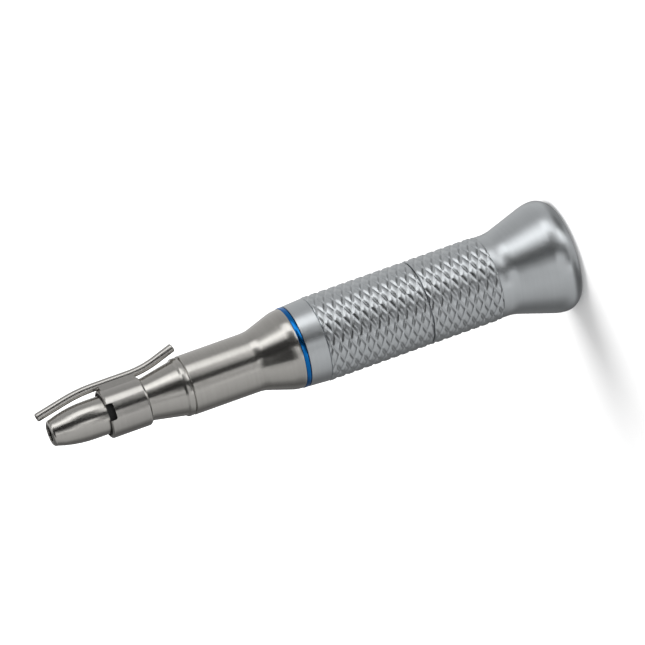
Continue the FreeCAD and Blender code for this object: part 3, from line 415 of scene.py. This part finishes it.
def finish_piece(mesh, name, body, node, finish, sharp=32.0):
    """Make a piece of a mesh, with its finish, body and the node it stands for."""
    bmesh.ops.remove_doubles(mesh, verts=mesh.verts, dist=WELD)
    bmesh.ops.recalc_face_normals(mesh, faces=mesh.faces)
    piece = add_object(name, mesh, FINISHES[finish])
    piece.data.shade_smooth()
    piece.data.set_sharp_from_angle(angle=math.radians(sharp))
    weighted = piece.modifiers.new("even_shading", "WEIGHTED_NORMAL")
    weighted.keep_sharp = True
    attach(piece, body)
    if node:
        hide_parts(node)
    return piece


def turned_piece(name, corners, body, node, finish, edge=EDGE):
    """Piece turned from one outline."""
    mesh = bmesh.new()
    lathe(mesh, eased(outline(corners), edge))
    return finish_piece(mesh, name, body, node, finish)


# Diamond knurl: diamonds around, height of one diamond, radius of the flats, depth and half
# width of a groove, radius where the band's end walls stop, and the rounding of the groove's
# root and of the diamonds' edges as shares of the half width
KNURL = {
    "around": 12,
    "pitch": 1.73,
    "crest": 7.6,
    "depth": 0.17,
    "groove": 0.36,
    "wall_foot": 7.2,
    "soft_root": 0.08,
    "soft_edge": 0.15,
}
# Where the mesh has its lines across one diamond: close together at each groove's root and sides
CELL_STATIONS = (0.0, 0.02, 0.05, 0.19, 0.227, 0.265, 0.5, 0.735, 0.773, 0.81, 0.95, 0.98)


def knurl_radius(angle, height, start, bottom, top):
    """Radius of the knurled surface: flat-topped diamonds between two sets of grooves."""
    crest, depth, pitch = KNURL["crest"], KNURL["depth"], KNURL["pitch"]
    turns = angle / math.tau * KNURL["around"]
    rows = (height - start) / pitch
    half_turn = math.pi * crest / KNURL["around"]
    spacing = 2 * half_turn * pitch / math.hypot(2 * half_turn, pitch)
    nearest = min(abs(place - round(place)) for place in (turns + rows, turns - rows)) * spacing
    share = math.hypot(nearest / KNURL["groove"], KNURL["soft_root"]) - KNURL["soft_root"]
    soft = max(0.0, KNURL["soft_edge"] - abs(share - 1)) ** 2 / (4 * KNURL["soft_edge"])
    radius = crest - depth * (1 - min(share, 1.0) + soft)
    from_end = min(height - bottom, top - height)
    return min(radius, crest - depth + from_end)


def knurl_band(mesh, bottom, top, start):
    """Knurled band of a sleeve, with walls at both ends that go down under the skin. Start is
    the height of a crossing of two grooves."""
    count = len(CELL_STATIONS)
    around = KNURL["around"] * count
    pitch = KNURL["pitch"]
    low = math.floor(((bottom - start) * 2 / pitch - 1) * count)
    high = math.ceil(((top - start) * 2 / pitch + 1) * count)
    spots = {}

    def spot(first, second):
        turn_over = first // around
        key = (first - turn_over * around, second - turn_over * around)
        if key not in spots:
            across = key[0] // count + CELL_STATIONS[key[0] % count]
            along = key[1] // count + CELL_STATIONS[key[1] % count]
            angle = math.tau * (across + along) / (2 * KNURL["around"])
            height = start + pitch / 2 * (across - along)
            spots[key] = mesh.verts.new((math.cos(angle), math.sin(angle), height))
        return spots[key]

    for first in range(around):
        for second in range(first - high, first - low):
            mesh.faces.new((spot(first, second), spot(first + 1, second),
                            spot(first + 1, second + 1), spot(first, second + 1)))
    for level, above in ((bottom, False), (top, True)):
        bmesh.ops.bisect_plane(
            mesh, geom=[*mesh.verts, *mesh.edges, *mesh.faces], plane_co=(0, 0, level),
            plane_no=(0, 0, 1), clear_outer=above, clear_inner=not above, dist=TINY)
    rims = [edge for edge in mesh.edges if edge.is_boundary]
    walls = bmesh.ops.extrude_edge_only(mesh, edges=rims)["geom"]
    wall_feet = {item for item in walls if isinstance(item, bmesh.types.BMVert)}
    for vert in mesh.verts:
        angle = math.atan2(vert.co.y, vert.co.x)
        height = vert.co.z
        if vert in wall_feet:
            radius = KNURL["wall_foot"]
        else:
            radius = knurl_radius(angle, height, start, bottom, top)
        vert.co = Vector((radius * math.cos(angle), radius * math.sin(angle), height)) * MM


def knurled_piece(name, corners, band, body, node):
    """Sleeve turned from one outline, with a knurled band laid in its recess."""
    mesh = bmesh.new()
    knurl_band(mesh, **band)
    lathe(mesh, eased(outline(corners), EDGE))
    return finish_piece(mesh, name, body, node, "satin_grip", sharp=50.0)


# Heights where the outer pieces meet
REAR_KNURL_FOOT = 14.203
REAR_GRIP_TOP = 27.503
FRONT_GRIP_FOOT = 27.753
FRONT_GRIP_TOP = 50.753
RING_FOOT = 50.853
RING_TOP = 51.653
SLEEVE_TOP = 71.396
CAP_FOOT = 86.196
NECK_TOP = 89.996
# Radii that two pieces share
RECESS = 7.25
RING_SEAT = 5.8
SLEEVE_BORE = 4.6
CAP_SEAT = 2.95
CAP_RADIUS = 3.42


# Outer pieces, from the bell forward

knurled_piece("rear_grip", [
    (8.0, 0.0), (9.0, 0.0, 2.75), (10.1, 2.2, 7.0), (9.769, 4.328), (7.799, 10.501, -8.0),
    (7.42, 12.933), (7.42, REAR_KNURL_FOOT), (RECESS, REAR_KNURL_FOOT), (RECESS, REAR_GRIP_TOP),
    (6.9, REAR_GRIP_TOP), (6.9, 3.5), (7.7, 3.5), (7.7, 0.3),
], {"bottom": REAR_KNURL_FOOT, "top": REAR_GRIP_TOP, "start": 14.6}, "handpiece", "rear_sleeve")

knurled_piece("front_grip", [
    (6.95, FRONT_GRIP_FOOT), (RECESS, FRONT_GRIP_FOOT), (RECESS, 46.95), (7.35, 47.003),
    (7.5, 47.153), (7.27, FRONT_GRIP_TOP), (6.45, FRONT_GRIP_TOP), (6.45, 43.553), (6.95, 43.553),
], {"bottom": FRONT_GRIP_FOOT, "top": 46.98, "start": 28.2}, "twist_grip", "twist_sleeve")

turned_piece("blue_ring", [
    (RING_SEAT, RING_FOOT), (7.17, RING_FOOT), (7.25, 50.933), (7.25, 51.573), (7.17, RING_TOP),
    (RING_SEAT, RING_TOP),
], "handpiece", "colour_ring", "colour_ring", edge=0.03)

turned_piece("flared_sleeve", [
    (SLEEVE_BORE, 43.853), (RING_SEAT, 43.853), (RING_SEAT, RING_TOP), (7.14, RING_TOP, 7.0),
    (6.797, 53.816), (5.598, 57.507, -6.5), (5.28, 59.516), (5.28, 71.276), (5.16, SLEEVE_TOP),
    (SLEEVE_BORE, SLEEVE_TOP),
], "handpiece", "front_sleeve", "turned_steel")

turned_piece("neck", [
    (4.0, 63.396), (SLEEVE_BORE, 63.396), (SLEEVE_BORE, SLEEVE_TOP), (4.95, SLEEVE_TOP),
    (4.95, 71.646), (5.2, 71.646), (5.2, 72.496), (4.9, 72.846), (3.8, 78.496), (3.8, 81.971),
    (3.3, 81.971), (3.3, 82.721), (3.8, 82.721), (3.8, 84.696), (3.6, 84.896),
    (CAP_RADIUS, 84.896), (CAP_RADIUS, CAP_FOOT), (CAP_SEAT, CAP_FOOT), (CAP_SEAT, NECK_TOP),
    (2.65, NECK_TOP), (2.65, 74.896), (3.25, 74.896), (3.25, 73.996), (4.0, 73.996),
], "handpiece", "neck_housing", "turned_steel")

turned_piece("nose", [
    (CAP_SEAT, CAP_FOOT), (CAP_RADIUS, CAP_FOOT), (CAP_RADIUS, 89.196, 21.705),
    (2.36, 95.896, 0.6), (1.76, 96.496), (1.4, 96.496), (1.4, 95.796), (1.9, 95.796),
    (2.6, 93.196), (2.6, NECK_TOP), (CAP_SEAT, NECK_TOP),
], "handpiece", "nose_cap", "turned_steel", edge=0.06)

# Black ring under the clip collar's front notch: a dark piece that stands in for the shade of the
# gap there, painted shade.
turned_piece("gap_shade_ring", [
    (3.3, 84.95), (3.6, 84.95), (3.6, 86.44), (3.3, 86.44),
], "handpiece", None, "seal_rubber", edge=0.08)


def bent_tube(name, corners, radius, bore, lip, body, node, finish, flare=0.2, steps=48):
    """Open tube bent in the XZ plane along (across, height) corners, with rounded ends. The
    bore opens at each end by a share, flare, of what the outside loses."""
    line = [corners[0][:2]]
    for corner, following in zip(corners, corners[1:]):
        line += leg(corner, following, step=1.0)
    line = [Vector(spot) for spot in line]
    last_index = len(line) - 1
    headings = [
        (line[min(index + 1, last_index)] - line[max(index - 1, 0)]).normalized()
        for index in range(len(line))
    ]
    quarter = [math.radians(turn) for turn in (0, 22.5, 45, 67.5, 90)]
    rounded = [(lip * (1 - math.sin(turn)), lip * (1 - math.cos(turn))) for turn in quarter]
    way = list(zip(line, headings))
    (first, setting_out), (last, arriving) = way[0], way[-1]
    tail_end = [(first + setting_out * back, setting_out, drop) for back, drop in rounded]
    nose_end = [(last - arriving * back, arriving, drop) for back, drop in rounded]
    hoops = [(spot, heading, radius - drop) for spot, heading, drop in reversed(tail_end)]
    hoops += [(spot, heading, radius) for spot, heading in way[1:-1]]
    hoops += [(spot, heading, radius - drop) for spot, heading, drop in nose_end]
    hoops += [(spot, heading, bore + flare * drop) for spot, heading, drop in reversed(nose_end)]
    hoops += [(spot, heading, bore) for spot, heading in reversed(way[1:-1])]
    hoops += [(spot, heading, bore + flare * drop) for spot, heading, drop in tail_end]
    mesh = bmesh.new()
    rings = []
    for spot, heading, size in hoops:
        ring = []
        for step in range(steps):
            turn = math.tau * step / steps
            across, deep = size * math.cos(turn), size * math.sin(turn)
            place = Vector((spot.x + across * heading.y, deep, spot.y - across * heading.x))
            ring.append(mesh.verts.new(place * MM))
        rings.append(ring)
    skin(mesh, rings)
    return finish_piece(mesh, name, body, node, finish)


bent_tube("bent_spray_tube", [
    (6.963, 71.296), (5.844, 74.868, -18.0), (5.02, 80.250), (5.02, 86.703, 28.0),
    (4.429, 92.427), (3.307, 97.796),
], radius=0.78, bore=0.5, lip=0.22, body="spray_clip", node="spray_tube", finish="clip_steel")


def washer_stack(name, body, node, low, washers, pitch, thick, inner, outer):
    """Stack of cupped spring washers, built at rest with a mesh of its own; on the real chuck
    they are squeezed against their seat as it opens.
    """
    mesh = bmesh.new()
    for index in range(washers):
        bottom = low + pitch * index
        lifted = bottom + pitch - thick
        at_bore, at_rim = (bottom, lifted) if index % 2 else (lifted, bottom)
        under = [(inner, at_bore), (outer, at_rim)]
        over = [(outer, at_rim + thick), (inner, at_bore + thick)]
        lathe(mesh, eased(under + over, EDGE), steps=96)
    piece = finish_piece(mesh, name, body, node, "spring_steel")
    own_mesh(piece)


washer_stack(
    "spring_washers", body="spindle", node="disc_springs", low=43.653, washers=8, pitch=1.25,
    thick=0.4, inner=2.55, outer=4.2)


# Pieces kept from the CAD model

KEPT = {
    "clip_steel": ["clip_collar"],
    "core_steel": [
        "core_tube", "bearing_carrier", "bearing_nut", "outer_spacer", "inner_spacer",
        "spring_seat",
    ],
    "blackened": ["collet"],
    "chuck_steel": [
        "spindle", "draw_tube", "drive_dog", "spindle_nut", "release_collar", "cross_pin",
    ],
    "cam_steel": ["cam_ring", "pusher_ring", "pusher_pins"],
    "race_steel": [
        "rear_bearing_outer_race", "rear_bearing_inner_race", "rear_bearing_balls",
        "front_bearing_outer_race", "front_bearing_inner_race", "front_bearing_balls",
        "second_bearing_outer_race", "second_bearing_inner_race", "second_bearing_balls",
    ],
    "spring_steel": ["preload_washer", "carrier_circlip"],
    "seal_rubber": ["nose_seal", "sleeve_seal", "clip_ring"],
}

for finish, names in KEPT.items():
    for name in names:
        shown = NODES[name]
        shown.data.materials.clear()
        shown.data.materials.append(FINISHES[finish])

rounding = NODES["clip_collar"].modifiers.new("rounded_edges", "BEVEL")
rounding.width = 0.12 * MM
rounding.segments = 3
rounding.limit_method = "ANGLE"
rounding.angle_limit = math.radians(35)
rounding.harden_normals = True


# Floor, world and studio


def make_floor(half=1.5, below=0.0002):
    """Plain pale floor just under the bell: it keeps the shadow near the bell, and further out
    it is white to the eye."""
    mesh = bmesh.new()
    square = ((-1, -1), (1, -1), (1, 1), (-1, 1))
    mesh.faces.new([mesh.verts.new((x * half, y * half, 0)) for x, y in square])
    material, tree, shader = new_material("pale_floor")
    path = wire(tree, "ShaderNodeLightPath").outputs
    seen = compute(tree, "ADD", path["Is Camera Ray"], path["Is Transmission Ray"], clamp=True)
    away = wire(tree, "ShaderNodeVectorMath", {0: object_place(tree)}, operation="LENGTH")
    lift = wire(tree, "ShaderNodeMapRange", {
        "Value": away.outputs["Value"],
        "From Min": 0.08, "From Max": 0.45, "To Min": 0.12, "To Max": 0.8,
    })
    feed(tree, shader, {
        "Base Color": (0.8, 0.8, 0.8, 1),
        "Roughness": 0.9,
        "Specular IOR Level": 0.0,
        "Emission Color": WHITE,
        "Emission Strength": compute(tree, "MULTIPLY", seen, lift.outputs["Result"]),
    })
    floor = add_object("floor", mesh, material)
    floor.location.z = -below
    floor.visible_glossy = False


def make_world(soft=0.65):
    """White to the eye and in reflections, a soft grey light for everything else."""
    world = bpy.data.worlds.new("white_studio")
    tree = clear_nodes(world)
    path = wire(tree, "ShaderNodeLightPath").outputs
    seen = compute(tree, "ADD", path["Is Camera Ray"], path["Is Glossy Ray"], clamp=True)
    seen = compute(tree, "ADD", seen, path["Is Transmission Ray"], clamp=True)
    strength = compute(tree, "ADD", compute(tree, "MULTIPLY", seen, 1 - soft), soft)
    light = wire(tree, "ShaderNodeBackground", {"Color": WHITE, "Strength": strength})
    wire(tree, "ShaderNodeOutputWorld", {"Surface": light.outputs[0]})
    bpy.context.scene.world = world


# Studio tent, seen only in reflections. Azimuths are in degrees from -Y towards +X.

# Its upright strips: azimuth and the level of light there; two close ones make a hard edge
STRIPS = [
    (-180, 0.10), (-150, 0.20), (-130, 0.12), (-110, 0.22), (-96, 0.42), (-60, 0.55), (-22, 0.66),
    (-15, 1.25), (-9, 1.25), (-7, 0.03), (38, 0.03), (41, 1.75), (63, 1.75), (71, 0.36),
    (150, 0.62), (178, 0.50), (180, 0.10),
]
# How far the strips lean: height in millimetres and the turn there in degrees
LEAN = [
    (-400, -22), (-150, -22), (-126, -15), (-105, -5), (-92, 0), (-60, 5), (100, 8), (150, -3),
    (200, -11), (225, -11), (275, 1), (700, 1),
]
# Its foot, below the strips: lit in front, dark at the sides
FOOT = [
    (-180, 0.30), (-130, 0.12), (-42, 0.10), (-32, 0.45), (14, 0.40), (22, 1.2), (42, 1.2),
    (50, 0.08), (85, 0.08), (100, 0.30), (180, 0.30),
]
FOOT_RISE = -36  # degrees up from the middle; the foot lies below
BASE_RISE = -70  # an even grey base lies below
BASE_LEVEL = 0.5
# Its dark card, in front and above the middle
CARD = {"above": 28, "first": -50, "last": 48, "level": 0.04}


def along(table, place):
    """Value at a place, read off a table of (place, value) corners."""
    for (first, near), (last, far) in zip(table, table[1:]):
        if place <= last:
            return near + (far - near) * (place - first) / (last - first)
    return table[-1][1]


def tent_level(azimuth, rise, height):
    """Light of the tent at a spot, whose height is in metres."""
    if rise < BASE_RISE:
        return BASE_LEVEL
    if rise < FOOT_RISE:
        return along(FOOT, azimuth)
    if rise > CARD["above"] and CARD["first"] < azimuth < CARD["last"]:
        return CARD["level"]
    return along(STRIPS, (azimuth - along(LEAN, height / MM) + 180) % 360 - 180)


def glowing_sheet(name, rows, levels):
    """Sheet of light that only reflections see; the level of each corner is kept on the mesh."""
    mesh = bmesh.new()
    glow = mesh.verts.layers.float.new("level")
    made = []
    for row, line in zip(rows, levels):
        made.append([mesh.verts.new(spot) for spot in row])
        for vert, level in zip(made[-1], line):
            vert[glow] = level
    for near, far in zip(made, made[1:]):
        for index in range(len(near) - 1):
            mesh.faces.new((near[index], far[index], far[index + 1], near[index + 1]))
    material = bpy.data.materials.new(name)
    tree = clear_nodes(material)
    level = wire(tree, "ShaderNodeAttribute", attribute_name="level").outputs["Fac"]
    light = wire(tree, "ShaderNodeEmission", {"Color": WHITE, "Strength": level})
    wire(tree, "ShaderNodeOutputMaterial", {"Surface": light.outputs[0]})
    sheet = add_object(name, mesh, material)
    sheet.visible_camera = False
    sheet.visible_diffuse = False
    sheet.visible_shadow = False
    sheet.visible_transmission = False


def make_tent(distance=0.6, middle=0.05):
    """Closed tent: upright strips with a dark card above, a lit foot and a grey base."""
    rises = [-88, -72, -66, -54, -42, -30, *range(-24, 24, 2), 30, 45, 60, 75, 88]
    rows, levels = [], []
    for azimuth in range(-180, 181):
        turned = math.radians(azimuth)
        row, line = [], []
        for rise in rises:
            flat = distance * math.cos(math.radians(rise))
            height = middle + distance * math.sin(math.radians(rise))
            row.append((flat * math.sin(turned), -flat * math.cos(turned), height))
            line.append(tent_level(azimuth, rise, height))
        rows.append(row)
        levels.append(line)
    glowing_sheet("tent", rows, levels)


def make_flag(edges=((0.05, 0.077), (0.12, 0.056)), first=-34, last=-4, level=0.03):
    """Small leaning dark card near the object, between two azimuths; edges are the distance and
    height of its two edges."""
    rows = []
    for azimuth in range(first, last + 1, 5):
        turned = math.radians(azimuth)
        rows.append([
            (away * math.sin(turned), -away * math.cos(turned), height) for away, height in edges
        ])
    glowing_sheet("flag", rows, [[level, level]] * len(rows))


def make_lamp(name, place, size, watts, aim=(0, 0, 0.04)):
    """Soft square lamp, aimed at the middle of the grip."""
    lamp = bpy.data.lights.new(name, "AREA")
    lamp.size = size
    lamp.energy = watts
    item = bpy.data.objects.new(name, lamp)
    item.location = place
    item.rotation_mode = "QUATERNION"
    item.rotation_quaternion = (Vector(place) - Vector(aim)).to_track_quat("Z", "Y")
    item.visible_glossy = False
    bpy.context.scene.collection.objects.link(item)


make_floor()
make_world()
make_tent()
make_flag()
make_lamp("key", place=(0.35, 0.05, 0.75), size=0.35, watts=6.0)
